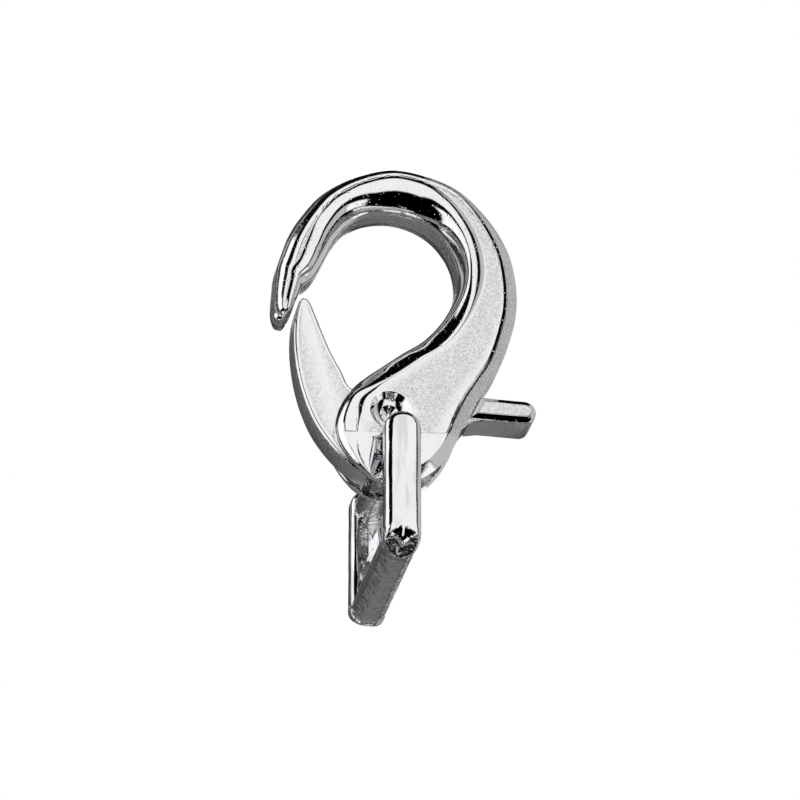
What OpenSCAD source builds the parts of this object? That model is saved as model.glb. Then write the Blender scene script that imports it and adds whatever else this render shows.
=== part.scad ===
/* [Hook body] */
// Half depth of the body at the crest of its polished rib
crest_h = 3.5; // [3.4:0.1:3.7]
// Half depth of the flat sandy face
face_h = 3.1; // [3.0:0.1:3.3]
// Half depth of the straight side wall beside the gate's slot
wall_h = 2.4; // [2.2:0.1:2.6]
// Width of the bevel along the outer edge
bevel_w = 1.5; // [1.0:0.1:1.8]

/* [Gate] */
// Thickness of the gate
gate_t = 3.2; // [2.6:0.1:3.2]
// Thickness of the thumb tab outside the slot
tab_t = 4.4; // [3.6:0.1:4.8]
// Height of the thumb tab
tab_h = 2.4; // [2.0:0.1:2.6]
// Free space on each side of the gate in its slot
slot_gap = 0.15; // [0.1:0.05:0.2]
// Radius of the gate's hub
hub_r = 3.0; // [2.6:0.1:3.2]
// How far the gate opens, in degrees
open_angle = 25; // [15:1:25]

/* [Pivot] */
// Radius of the pivot pin
pin_r = 0.95; // [0.8:0.05:0.95]
// Radius of the gate's bore
gate_bore_r = 1.0; // [1.0:0.05:1.1]
// Radius of the staked dimple in the cheek's flat face
dimple_r = 2.0; // [1.9:0.05:2.1]
// Radius at the foot of the dimple's steep rim
dimple_floor_r = 1.6; // [1.4:0.05:1.8]
// Depth of the dimple's steep rim, above its cone
dimple_rim = 0.55; // [0.3:0.05:0.6]

/* [Strap loop] */
// Clear width between the loop's arms, for a flat strap
strap_w = 15.2; // [14:0.2:18]
// Thickness of each arm
arm_t = 2.4; // [2.2:0.1:3.0]
// Half width of the arms
arm_r = 1.8; // [1.7:0.1:1.9]
// How far an arm's upper round end is centred above the round bar
arm_rise = 0.6; // [0.2:0.1:0.7]
// Radius of the round bar through the tail
bar_r = 1.5; // [1.2:0.1:1.5]
// Radius of the tail's bore
tail_bore_r = 1.7; // [1.7:0.05:1.8]
// Distance from the round bar to the strap bar, between their centres
loop_drop = 10.9; // [10:0.1:14]
// Bevel on the arms
loop_bevel = 0.75; // [0.4:0.05:0.9]
// Half height of the strap bar's eight-sided section
strap_bar_r = 1.65; // [1.4:0.05:1.65]
// Bevel on the strap bar
strap_bevel = 1.0; // [0.6:0.1:1.2]
// How far the arms' toes are ground back on their outer faces
toe_rise = 1.8; // [0.4:0.1:2.4]

/* [Hidden] */
$fn = 64;
metal = [0.78, 0.78, 0.8];
// The pivot's and the round bar's places, as x and z
pivot = [-0.5, -23.1];
bar = [0.2, -26.8];
// Half width of the gate's slot
slot_h = gate_t / 2 + slot_gap;
// How far a cutting tool runs past the body
past = crest_h + 1;
// Rise of the dimple's cone for each millimetre of its radius
dimple_rise = 0.4;
// The pin's ends, where the dimple's cone meets them
pin_end = face_h - dimple_rim - dimple_rise * (dimple_floor_r - pin_r);
// Depth of the cone staked into each end of the pin
stake_depth = 0.5;
// The groove beside the round bar: where its edge starts, its length and width, its turn and its tilt
groove_at = [-1.5, -25.9];
groove_y = 3.0;
groove_l = 5.5;
groove_w = 1.7;
groove_turn = 25;
groove_tilt = 30;
// How much of the toe's rise an arm's inner and outer edge take, and the thickness of the discs they span
inner_share = 0.25;
outer_share = 0.8;
thin = 0.1;
// The loop's near arm stands just in front of the body, and its far arm a strap's width behind
near_y = -crest_h - 0.3;
far_y = near_y + strap_w;
// Free space around the round bar in the gate's notch
bar_gap = 0.3;
// The tab's top over the pivot, its round end, and where its two edges leave the body
tab_rise = 3.0;
tab_end_x = 14.3;
tab_top_x = 8.7;
tab_low_x = 7.6;

// Columns of the section table, one row for each section from the nose to the tail
IX = 0; // inner edge, x
IZ = 1; // inner edge, z
OX = 2; // outer edge, x
OZ = 3; // outer edge, z
RIB = 4; // width of the polished rib from the inner edge
PEAK = 5; // where the rib's crest lies, as a share of the rib's width
POWER = 6; // how steeply the rib rises from the inner edge, 2 for a round rise
CREST = 7; // depth at the rib's crest, as a share of crest_h
FACE = 8; // depth of the flat face, as a share of face_h
WALL = 9; // depth of the straight side wall, as a share of wall_h
SLOPE = 10; // how straight the outer bevel is, from 0, round, to 1, flat
BEVEL = 11; // width of the outer bevel, as a share of bevel_w
SECTIONS = [
    [-10.7, -12.9, -11.2, -12.9, 0.2, 0.55, 2.0, 0.50, 0.53, 0.46, 0.10, 1.00],
    [-10.3, -12.6, -11.6, -12.5, 0.6, 0.55, 2.0, 0.68, 0.73, 0.58, 0.10, 1.00],
    [-10.0, -12.0, -11.8, -11.6, 0.9, 0.55, 2.0, 0.74, 0.79, 0.62, 0.10, 1.00],
    [-9.7, -11.1, -11.8, -10.2, 1.1, 0.55, 2.0, 0.77, 0.83, 0.64, 0.10, 1.00],
    [-9.3, -9.9, -11.7, -8.7, 1.3, 0.55, 2.0, 0.81, 0.88, 0.66, 0.10, 1.00],
    [-9.0, -9.1, -11.6, -7.5, 1.6, 0.55, 2.0, 0.85, 0.92, 0.66, 0.10, 1.00],
    [-7.9, -8.0, -11.3, -6.3, 2.0, 0.55, 2.0, 0.90, 0.97, 0.66, 0.10, 1.00],
    [-6.9, -6.0, -10.6, -4.1, 2.3, 0.58, 2.0, 0.93, 1.00, 0.66, 0.10, 1.00],
    [-5.9, -3.8, -9.3, -1.6, 2.5, 0.62, 2.0, 0.95, 1.03, 0.66, 0.10, 1.00],
    [-4.5, -1.8, -7.2, 1.2, 2.6, 0.68, 2.0, 0.98, 1.05, 0.66, 0.10, 1.00],
    [-2.5, -0.5, -4.0, 3.4, 2.9, 0.74, 2.0, 0.99, 1.07, 0.66, 0.10, 1.00],
    [0.0, 0.0, -0.3, 4.6, 3.2, 0.76, 2.0, 1.00, 1.08, 0.66, 0.10, 1.00],
    [2.3, -0.4, 3.4, 4.2, 3.2, 0.72, 2.0, 1.00, 1.06, 0.66, 0.14, 1.00],
    [4.4, -1.6, 6.8, 2.9, 2.9, 0.60, 2.0, 1.00, 1.02, 0.66, 0.30, 1.00],
    [5.9, -3.5, 9.6, 0.2, 2.6, 0.50, 2.0, 1.00, 1.00, 0.68, 0.60, 1.10],
    [6.6, -5.7, 11.6, -3.3, 2.4, 0.45, 2.0, 1.00, 1.00, 0.70, 0.85, 1.15],
    [6.6, -7.9, 12.4, -6.9, 2.3, 0.48, 2.0, 1.00, 1.00, 0.72, 0.90, 1.15],
    [6.0, -9.9, 12.4, -10.4, 2.2, 0.72, 2.0, 0.97, 1.00, 0.75, 0.90, 1.10],
    [4.8, -12.2, 11.7, -13.6, 2.2, 0.90, 1.7, 0.92, 1.00, 0.78, 0.90, 1.05],
    [3.0, -14.4, 10.6, -16.8, 2.3, 0.97, 1.5, 0.90, 1.00, 0.80, 0.90, 1.00],
    [0.8, -16.1, 9.2, -19.2, 2.3, 0.97, 1.5, 0.90, 1.00, 0.82, 0.90, 1.00],
    [-1.5, -18.0, 8.0, -21.4, 2.3, 0.97, 1.5, 0.90, 1.00, 0.82, 0.90, 1.05],
    [-3.5, -19.7, 7.0, -23.6, 2.2, 0.88, 1.7, 0.92, 1.00, 0.82, 0.90, 1.00],
    [-4.9, -21.5, 6.3, -25.4, 2.0, 0.55, 2.0, 0.95, 1.00, 0.83, 0.90, 1.00],
    [-5.7, -23.4, 5.3, -27.2, 2.4, 0.42, 2.0, 0.95, 1.00, 0.84, 0.90, 1.05],
    [-5.9, -25.2, 4.0, -28.8, 2.4, 0.42, 2.0, 0.92, 0.97, 0.84, 0.85, 1.10],
    [-5.3, -27.0, 2.3, -30.0, 1.9, 0.50, 2.0, 0.85, 0.91, 0.83, 0.80, 1.20],
    [-4.0, -28.8, 0.6, -30.6, 1.2, 0.60, 2.0, 0.78, 0.85, 0.82, 0.60, 1.20],
    [-2.7, -29.9, -0.9, -30.6, 0.6, 0.70, 2.0, 0.70, 0.78, 0.80, 0.50, 1.00]
];
steps_per_row = 2;

// The table's row at place t, counted in rows, on a Catmull-Rom curve through all rows
function row_at(i) = SECTIONS[max(0, min(len(SECTIONS) - 1, i))];
function spline(a, b, c, d, u) =
    0.5 * (2 * b + (c - a) * u + (2 * a - 5 * b + 4 * c - d) * u * u + (3 * b - a - 3 * c + d) * u * u * u);
function blend(t) =
    let (i = floor(t))
    spline(row_at(i - 1), row_at(i), row_at(i + 1), row_at(i + 2), t - i);

// One side of a section as [across, depth], from the inner wall over the rib to the outer wall
function half_section(s) =
    let (
        w = norm([s[OX] - s[IX], s[OZ] - s[IZ]]),
        b = min(s[BEVEL] * bevel_w, 0.45 * w),
        r = min(s[RIB], w - b),
        p = s[PEAK] * r,
        crest = s[CREST] * crest_h,
        face = s[FACE] * face_h,
        wall = s[WALL] * wall_h
    )
    concat(
        [for (t = [0, 0.25, 0.6, 1]) [t * p, wall + (crest - wall) * (1 - pow(1 - t, s[POWER]))]],
        [[(p + r) / 2, crest - 0.3 * (crest - face)], [r, face]],
        [for (t = [0, 0.5, 0.85, 1])
            [w - b + b * t, face - (face - wall) * (s[SLOPE] * t + (1 - s[SLOPE]) * pow(t, 3))]]
    );

// The whole section as points in space, front side first
function section_points(s) =
    let (
        inner = [s[IX], s[IZ]],
        across = [s[OX], s[OZ]] - inner,
        dir = across / norm(across),
        half = half_section(s),
        n = len(half)
    )
    concat(
        [for (p = half) let (q = inner + dir * p[0]) [q[0], -p[1], q[1]]],
        [for (k = [n - 1 : -1 : 0]) let (q = inner + dir * half[k][0]) [q[0], half[k][1], q[1]]]
    );

// A closed skin over rings of equal length, whose front and back points mirror each other
module skin(rings) {
    n = len(rings[0]);
    top = (len(rings) - 1) * n;
    sides = [
        for (i = [0 : len(rings) - 2], k = [0 : n - 1])
            let (a = i * n + k, b = i * n + (k + 1) % n)
            each [[a, a + n, b], [b, a + n, b + n]]
    ];
    first = [for (k = [1 : n / 2 - 1]) each [[k - 1, k, n - k], [k, n - 1 - k, n - k]]];
    last = [for (f = first) [f[2] + top, f[1] + top, f[0] + top]];
    polyhedron(points = [for (r = rings) each r], faces = concat(sides, first, last), convexity = 10);
}

// A flat outline in x and z, given a thickness centred on y = 0
module plate(thickness) {
    rotate([90, 0, 0]) translate([0, 0, -thickness / 2]) linear_extrude(thickness) children();
}

// A round bar along y, from y0 to y1, at a place in x and z
module y_rod(at, r, y0, y1) {
    translate([at[0], y1, at[1]]) rotate([90, 0, 0]) cylinder(r = r, h = y1 - y0);
}

// The gate's slot: open below and at both sides, with a stepped ceiling over the gate's hub
SLOT = [
    [-13, -17.2], [-4.5, -17.2], [-2.2, -18.0], [-1.1, -19.6], [0.7, -19.6], [2.2, -20.5],
    [3.5, -20.6], [12, -19.2], [14, -33], [-13, -33]
];

// The dimple that a staking punch leaves in a cheek: a steep rim, and a cone down to the pin
module dimple(side) {
    floor_y = face_h - dimple_rim;
    y_rod(pivot, dimple_r, side > 0 ? face_h : -past, side > 0 ? past : -face_h);
    translate([pivot[0], side * face_h, pivot[1]]) rotate([side * 90, 0, 0]) {
        cylinder(r1 = dimple_r, r2 = dimple_floor_r, h = dimple_rim);
        translate([0, 0, dimple_rim]) cylinder(r1 = dimple_floor_r, r2 = pin_r, h = floor_y - pin_end);
    }
}

// A groove in the cheek beside the round bar, whose floor slopes away from a slanting line
module bar_groove(side) {
    translate([groove_at[0], side * groove_y, groove_at[1]])
        rotate([0, groove_turn, 0])
            rotate([0, 0, -side * groove_tilt])
                translate([0, side > 0 ? 0 : -past, -groove_l])
                    cube([groove_w, past, groove_l]);
}

module hook_body() {
    last = len(SECTIONS) - 1;
    color(metal) difference() {
        skin([for (k = [0 : last * steps_per_row]) section_points(blend(k / steps_per_row))]);
        plate(2 * slot_h) polygon(SLOT);
        y_rod(pivot, pin_r, -past, past);
        y_rod(bar, tail_bore_r, -past, past);
        dimple(1);
        dimple(-1);
        bar_groove(1);
        bar_groove(-1);
    }
}

// The gate's outline: down the outside of the crescent from its tip, and back up the inside
CRESCENT = [
    [-9.1, -10.7], [-9.5, -11.4], [-9.8, -13.3], [-9.85, -15.6], [-9.65, -17.8], [-9.25, -20.0],
    [-8.6, -22.2], [-7.7, -24.3], [-6.6, -26.0], [-5.4, -27.4], [-3.9, -28.7], [-2.5, -29.5],
    [-2.0, -28.5], [0, -24.0], [0.5, -20.6], [-2.6, -20.7], [-4.3, -20.1], [-5.1, -18.5],
    [-6.2, -16.4], [-7.1, -14.2], [-7.9, -12.1], [-8.4, -11.0]
];
// The root of the thumb tab inside the slot
TAB_ROOT = [
    [0, -21.2], [2.6, -21.3], [4.5, -20.8], [9.5, -20.1], [9.5, -22.5], [7.6, -22.9],
    [6.2, -24.4], [4.6, -25.0], [0, -24.4]
];

// The thumb tab outside the slot, with a round end
module tab_outline() {
    top = pivot[1] + tab_rise;
    round_x = tab_end_x - tab_h / 2;
    polygon([[tab_top_x, top], [round_x, top], [round_x, top - tab_h], [tab_low_x, top - tab_h]]);
    translate([round_x, top - tab_h / 2]) circle(r = tab_h / 2);
}

// The room that the round bar takes in the gate while the gate opens, down to the gate's lower edge
module bar_room() {
    r = bar_r + bar_gap;
    for (angle = [0, open_angle / 2, open_angle])
        translate([pivot[0], 0, pivot[1]])
            rotate([0, -angle, 0])
                translate([bar[0] - pivot[0], 0, bar[1] - pivot[1]]) {
                    y_rod([0, 0], r, -gate_t, gate_t);
                    translate([-r, -gate_t, -2 * hub_r]) cube([2 * r, 2 * gate_t, 2 * hub_r]);
                }
}

module gate() {
    color(metal) difference() {
        union() {
            plate(gate_t) polygon(CRESCENT);
            plate(gate_t) polygon(TAB_ROOT);
            plate(tab_t) tab_outline();
            y_rod(pivot, hub_r, -gate_t / 2, gate_t / 2);
        }
        y_rod(pivot, gate_bore_r, -gate_t, gate_t);
        bar_room();
    }
}

// The pin between the two dimples, with a cone punched into each end
module pivot_pin() {
    color(metal) difference() {
        y_rod(pivot, pin_r, -pin_end, pin_end);
        for (side = [-1, 1])
            translate([pivot[0], side * pin_end, pivot[1]])
                rotate([side * 90, 0, 0])
                    cylinder(r1 = 0.9 * pin_r, r2 = 0.1 * pin_r, h = stake_depth);
    }
}

// One round end of an arm, bevelled on both faces. Its outer face stops short by a rise.
module arm_end(z, rise) {
    flat_r = arm_r - loop_bevel;
    edge = arm_t / 2 - loop_bevel;
    translate([0, 0, z]) rotate([90, 0, 0]) {
        translate([0, 0, -arm_t / 2]) cylinder(r = flat_r, h = thin, $fn = 32);
        translate([0, inner_share * rise, -edge]) cylinder(r = arm_r, h = thin, $fn = 32);
        translate([0, outer_share * rise, edge - thin]) cylinder(r = arm_r, h = thin, $fn = 32);
        translate([0, rise, arm_t / 2 - thin]) cylinder(r = flat_r, h = thin, $fn = 32);
    }
}

// An arm whose outer face is at the front, or at the back after half a turn
module loop_arm(y, turn) {
    translate([bar[0], y, 0]) rotate([0, 0, turn]) hull() {
        arm_end(bar[1] + arm_rise, 0);
        arm_end(bar[1] - loop_drop, toe_rise);
    }
}

// The strap bar: a square section with bevelled corners, from arm to arm
module strap_bar() {
    s = strap_bar_r;
    c = strap_bar_r - strap_bevel;
    translate([bar[0], far_y + arm_t / 2, bar[1] - loop_drop])
        rotate([90, 0, 0])
            linear_extrude(strap_w + arm_t)
                polygon([[s, c], [c, s], [-c, s], [-s, c], [-s, -c], [-c, -s], [c, -s], [s, -c]]);
}

module strap_loop() {
    color(metal) union() {
        loop_arm(near_y - arm_t / 2, 0);
        loop_arm(far_y + arm_t / 2, 180);
        y_rod(bar, bar_r, near_y - arm_t / 2, far_y + arm_t / 2);
        strap_bar();
    }
}

hook_body();
gate();
pivot_pin();
strap_loop();
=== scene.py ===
# %% [markdown]
# # A small cast snap carabiner
#
# This lesson builds the looks of a snap carabiner with a strap loop. The real one is cast in a zinc
# alloy, tumbled, polished on its ribs and then plated, so nearly all that we see is how its curves
# mirror a bright studio. The lesson therefore spends its care on three things: smooth meshes whose
# curves are the real ones, finishes that differ between the polished and the sandy stretches, and a
# studio with bright and dark parts for the plating to mirror.

import math

import bmesh
import bpy
import numpy as np
from mathutils import Matrix, Vector
from mathutils.kdtree import KDTree


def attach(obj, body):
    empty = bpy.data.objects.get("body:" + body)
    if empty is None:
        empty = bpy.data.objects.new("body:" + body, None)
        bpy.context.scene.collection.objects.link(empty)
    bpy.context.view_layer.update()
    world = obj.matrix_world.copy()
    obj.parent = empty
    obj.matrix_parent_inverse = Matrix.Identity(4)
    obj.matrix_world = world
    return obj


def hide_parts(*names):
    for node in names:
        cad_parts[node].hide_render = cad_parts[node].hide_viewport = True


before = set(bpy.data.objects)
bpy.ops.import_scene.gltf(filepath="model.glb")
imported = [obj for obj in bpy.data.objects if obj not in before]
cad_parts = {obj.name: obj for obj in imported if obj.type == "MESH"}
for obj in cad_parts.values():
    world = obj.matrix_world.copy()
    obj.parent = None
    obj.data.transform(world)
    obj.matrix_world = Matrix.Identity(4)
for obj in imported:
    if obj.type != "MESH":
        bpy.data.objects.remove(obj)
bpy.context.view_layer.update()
MM = 0.001

# %% [markdown]
# ## The camera
#
# The clasp is seen from a little to the left and from below, so that the inner wall shows at the top
# of the hook and the underside of the thumb tab shows too. A long lens far away keeps the lines almost
# parallel, as in a catalogue picture. The camera comes first.

# %% Place the camera
TURN = math.radians(11.4)
RISE = math.radians(27.5)
RIGHT = Vector((math.cos(TURN), -math.sin(TURN), 0))
UP = Vector((-math.sin(TURN) * math.sin(RISE), -math.cos(TURN) * math.sin(RISE), math.cos(RISE)))
FORWARD = Vector((math.sin(TURN) * math.cos(RISE), math.cos(TURN) * math.cos(RISE), math.sin(RISE)))
AIM = RIGHT * 1.0 * MM - UP * 18.07 * MM
DISTANCE = 0.5
FRAME_WIDTH = 80 * MM
SENSOR = 36.0

camera = bpy.data.objects.new("camera", bpy.data.cameras.new("camera"))
bpy.context.scene.collection.objects.link(camera)
camera.data.sensor_width = SENSOR
camera.data.lens = SENSOR * DISTANCE / FRAME_WIDTH
camera.data.clip_start = 0.05
camera.data.clip_end = 20
camera.matrix_world = Matrix.Translation(AIM - FORWARD * DISTANCE) @ Matrix(
    (RIGHT, UP, -FORWARD)).transposed().to_4x4()
bpy.context.scene.camera = camera
print("lens", round(camera.data.lens), "mm, camera at",
      [round(c, 3) for c in camera.matrix_world.translation])

# %% [markdown]
# ## Shared effects of the finish
#
# Four effects come back on every piece: the sandy skin of the mould, the soft ripples that hand polishing
# leaves, small pits, and a stain that dulls the plating here and there. They could be copied into each
# material, but as node groups they are built once, and each material sets its own grain and depth. They
# read object coordinates in metres, so a grain of 0.4 mm is 0.4 mm on every piece. A few short helpers
# keep the trees readable: one adds any node, one makes a group, and the others each add one kind of node.

# %% Define helpers for node trees
def add_node(tree, kind, inputs, **settings):
    """Adds a node. An input is a number, a vector, a socket or a list of sockets."""
    node = tree.nodes.new(kind)
    for key, value in settings.items():
        setattr(node, key, value)
    for label, value in inputs.items():
        for item in value if isinstance(value, list) else [value]:
            if isinstance(item, bpy.types.NodeSocket):
                tree.links.new(item, node.inputs[label])
            else:
                node.inputs[label].default_value = item
    return node


def new_group(name, inputs, outputs):
    """A shader group with float inputs and float outputs."""
    group = bpy.data.node_groups.new(name, "ShaderNodeTree")
    for label, value in inputs:
        socket = group.interface.new_socket(label, in_out="INPUT", socket_type="NodeSocketFloat")
        socket.default_value = value
    for label in outputs:
        group.interface.new_socket(label, in_out="OUTPUT", socket_type="NodeSocketFloat")
    return group, group.nodes.new("NodeGroupInput"), group.nodes.new("NodeGroupOutput")


def math_node(tree, operation, *values):
    """A Math node whose inputs are numbers or sockets."""
    return add_node(tree, "ShaderNodeMath", dict(enumerate(values)), operation=operation).outputs[0]


def ramp_between(tree, value, low, high):
    """0 below low and 1 above high, with a soft step between."""
    return add_node(tree, "ShaderNodeMapRange", {"Value": value, "From Min": low, "From Max": high},
                    interpolation_type="SMOOTHSTEP").outputs["Result"]


def scaled_place(tree, size, stretch=(1, 1, 1)):
    """Object coordinates counted in grains of the given size, in millimetres."""
    place = add_node(tree, "ShaderNodeTexCoord", {}).outputs["Object"]
    if stretch != (1, 1, 1):
        place = add_node(tree, "ShaderNodeMapping", {0: place, "Scale": stretch}).outputs[0]
    scale = math_node(tree, "DIVIDE", 1000.0, size)
    return add_node(tree, "ShaderNodeVectorMath", {0: place, "Scale": scale}, operation="SCALE").outputs[0]


def noise(tree, place, detail, roughness, distortion=0.0):
    """A cloudy noise with one cloud to each unit of the place."""
    return add_node(tree, "ShaderNodeTexNoise", {
        "Vector": place, "Scale": 1.0, "Detail": detail, "Roughness": roughness,
        "Distortion": distortion}).outputs[0]


def cell_pattern(tree, place):
    """A pattern with one cell to each unit of the place."""
    return add_node(tree, "ShaderNodeTexVoronoi", {"Vector": place, "Scale": 1.0}).outputs


# %% [markdown]
# Each effect is one group. Sand is a fine noise with round grains in it, a ripple is a slow noise that
# may be stretched along the polishing, a pit is a bowl in some cells of a pattern of cells, and a stain
# is a cloud.

# %% Build the effect groups
def build_sandy_skin():
    """Grains for the bump, and a speckle for the tint and the roughness."""
    group, given, result = new_group("sandy_skin", [("Grain", 0.4)], ["Height", "Speckle"])
    place = scaled_place(group, given.outputs["Grain"])
    grains = noise(group, place, 3.0, 0.6)
    height = math_node(group, "MULTIPLY_ADD", cell_pattern(group, place)["Distance"], 0.5, grains)
    group.links.new(height, result.inputs["Height"])
    group.links.new(ramp_between(group, grains, 0.38, 0.62), result.inputs["Speckle"])
    return group


def build_ripple(name, stretch, distortion):
    """Slow waves, stretched along an axis where its scale is below 1."""
    group, given, result = new_group(name, [("Wavelength", 2.0)], ["Height"])
    place = scaled_place(group, given.outputs["Wavelength"], stretch)
    group.links.new(noise(group, place, 1.5, 0.5, distortion), result.inputs["Height"])
    return group


def build_pits():
    """A bowl in the given share of the cells."""
    group, given, result = new_group("pits", [("Spacing", 0.4), ("Share", 0.3)], ["Height"])
    cells = cell_pattern(group, scaled_place(group, given.outputs["Spacing"]))
    draw = add_node(group, "ShaderNodeSeparateColor", {0: cells["Color"]}).outputs[0]
    chosen = math_node(group, "LESS_THAN", draw, given.outputs["Share"])
    bowl = ramp_between(group, cells["Distance"], 0.1, 0.45)
    depth = math_node(group, "SUBTRACT", bowl, 1.0)
    group.links.new(math_node(group, "MULTIPLY", chosen, depth), result.inputs["Height"])
    return group


def build_stain():
    """A cloud that is 1 where the plating is dull."""
    group, given, result = new_group("stain", [("Size", 3.0)], ["Mask"])
    cloud = noise(group, scaled_place(group, given.outputs["Size"]), 4.0, 0.6)
    group.links.new(ramp_between(group, cloud, 0.45, 0.7), result.inputs["Mask"])
    return group


GROUPS = {"sand": build_sandy_skin(), "pits": build_pits(), "stain": build_stain(),
          "ripple": build_ripple("soft_ripple", (1, 1, 1), 0.0),
          "streaks": build_ripple("polishing_streaks", (1, 1, 0.16), 0.3),
          "wrinkles": build_ripple("casting_wrinkles", (1, 0.6, 1), 1.6)}
print("effect groups:", ", ".join(sorted(group.name for group in GROUPS.values())))

# %% [markdown]
# ## The plated finishes
#
# The plating is one metal everywhere. What changes over the surface is how rough the casting under it
# is. Each mesh therefore carries two numbers at its points: "sand" is 1 where the mould's sandy skin was
# left, and "matt" is 1 on walls that no wheel reaches. The material mixes its roughness, its bump and
# its tint by these two, so a boundary lies where the mesh has it.

# %% Make the finishes
PLATING = (0.80, 0.80, 0.815, 1)
STAINED = (0.52, 0.52, 0.54, 1)
POLISHED, SANDED, MATT = 0.05, 0.28, 0.3
STAIN_SIZE, STAIN_SHARE, STAIN_ROUGHNESS = 3.0, 0.12, 0.08
SPECKLE_SHARE, POLISHED_GRAIN = 0.75, 0.04
VEIL_FROM, VEIL_TO = 0.48, 0.7
PIT_SPACING, WRINKLE_SIZE = 0.26, 1.1


def group_node(tree, key, **values):
    """An effect group placed in a material, with its own values."""
    return add_node(tree, "ShaderNodeGroup", values, node_tree=GROUPS[key])


def attribute_node(tree, name):
    """The number of that name that the mesh carries at its points."""
    return add_node(tree, "ShaderNodeAttribute", {}, attribute_name=name).outputs["Fac"]


def between(tree, low, high, factor):
    """low + (high - low) * factor, where each may be a number or a socket."""
    plain = isinstance(low, float) and isinstance(high, float)
    span = high - low if plain else math_node(tree, "SUBTRACT", high, low)
    return math_node(tree, "MULTIPLY_ADD", factor, span, low)


def plated(name, ripple_depth, ripple_size, pit_share, pit_depth=0.01, grain=0.21, sand_depth=0.03,
           ripple="ripple", ripple_veil=0.0, wrinkle_depth=0.1):
    """A plated casting. Sizes and depths are in millimetres, and shares lie between 0 and 1."""
    material = bpy.data.materials.new(name)
    material.use_nodes = True
    tree = material.node_tree
    shader = tree.nodes["Principled BSDF"]
    shader.inputs["Metallic"].default_value = 1.0
    sand_here, matt_here = attribute_node(tree, "sand"), attribute_node(tree, "matt")
    unpolished = math_node(tree, "MAXIMUM", sand_here, matt_here)
    skin_group = group_node(tree, "sand", Grain=grain)
    cloud = group_node(tree, "stain", Size=STAIN_SIZE).outputs["Mask"]
    stain = math_node(tree, "MULTIPLY", cloud, STAIN_SHARE)
    speckle = math_node(tree, "MULTIPLY", skin_group.outputs["Speckle"],
                        between(tree, 0.0, SPECKLE_SHARE, unpolished))
    waves = group_node(tree, ripple, Wavelength=ripple_size).outputs["Height"]
    veil = math_node(tree, "MULTIPLY", ramp_between(tree, waves, VEIL_FROM, VEIL_TO), ripple_veil)
    dull = math_node(tree, "ADD", math_node(tree, "ADD", stain, speckle), veil)
    dull = math_node(tree, "MINIMUM", dull, 1.0)
    tint = add_node(tree, "ShaderNodeMix", {"Factor": dull, "A": PLATING, "B": STAINED}, data_type="RGBA")
    tree.links.new(tint.outputs["Result"], shader.inputs["Base Color"])
    rough = between(tree, between(tree, POLISHED, SANDED, sand_here), MATT, matt_here)
    rough = math_node(tree, "MULTIPLY_ADD", stain, STAIN_ROUGHNESS, rough)
    tree.links.new(rough, shader.inputs["Roughness"])
    sand_height = math_node(tree, "MULTIPLY", skin_group.outputs["Height"],
                            between(tree, POLISHED_GRAIN, 1.0, unpolished))
    pits = group_node(tree, "pits", Spacing=PIT_SPACING, Share=pit_share).outputs["Height"]
    wrinkles = group_node(tree, "wrinkles", Wavelength=WRINKLE_SIZE).outputs["Height"]
    wrinkles = math_node(tree, "MULTIPLY", wrinkles, matt_here)
    height = math_node(tree, "MULTIPLY", sand_height, sand_depth)
    for effect, depth in ((waves, ripple_depth), (pits, pit_depth), (wrinkles, wrinkle_depth)):
        height = math_node(tree, "MULTIPLY_ADD", effect, depth, height)
    bump = add_node(tree, "ShaderNodeBump", {"Distance": MM, "Height": height})
    tree.links.new(bump.outputs[0], shader.inputs["Normal"])
    return material


FINISHES = {
    "hook_body": plated("hook_body_finish", ripple_depth=0.05, ripple_size=2.4, pit_share=0.22),
    "gate": plated("gate_finish", ripple_depth=0.04, ripple_size=2.0, pit_share=0.15),
    "pivot_pin": plated("pivot_pin_finish", ripple_depth=0.02, ripple_size=0.9, pit_share=0.1,
                        pit_depth=0.008, grain=0.3),
    "strap_loop": plated("strap_loop_finish", ripple_depth=0.06, ripple_size=0.75, pit_share=0.1,
                         pit_depth=0.008, grain=0.4, sand_depth=0.05, ripple="streaks",
                         ripple_veil=0.5, wrinkle_depth=0.25),
}
print("finishes:", ", ".join(material.name for material in FINISHES.values()))

# %% [markdown]
# ## Helpers for meshes
#
# Every piece ends as a closed mesh in metres whose object sits at the origin. Booleans cut the slot and
# the bores, as a mill would. After the cuts, points that nearly meet are merged, and a triangle that a
# boolean has dropped is put back. An edge is kept sharp only where two faces really meet at an angle, so
# that the long curves stay smooth.

# %% Define the mesh helpers
def new_piece(name, points, faces):
    """A mesh object at the origin, from points in metres, whose faces are turned outwards."""
    mesh = bpy.data.meshes.new(name)
    mesh.from_pydata([tuple(float(c) for c in p) for p in points], [], faces)
    mesh.update()
    edit = bmesh.new()
    edit.from_mesh(mesh)
    bmesh.ops.recalc_face_normals(edit, faces=edit.faces)
    edit.to_mesh(mesh)
    edit.free()
    piece = bpy.data.objects.new(name, mesh)
    bpy.context.scene.collection.objects.link(piece)
    return piece


def apply_modifiers(piece):
    """Makes the modifiers' result the plain mesh of the piece."""
    bpy.context.view_layer.update()
    ready = piece.evaluated_get(bpy.context.evaluated_depsgraph_get())
    mesh = bpy.data.meshes.new_from_object(ready)
    piece.modifiers.clear()
    piece.data = mesh


def combine(piece, others, operation):
    """Adds or cuts each of the others, which are then removed."""
    for other in others:
        step = piece.modifiers.new("combine", "BOOLEAN")
        step.object = other
        step.operation = operation
        step.solver = "EXACT"
        apply_modifiers(piece)
        bpy.data.objects.remove(other)


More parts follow.
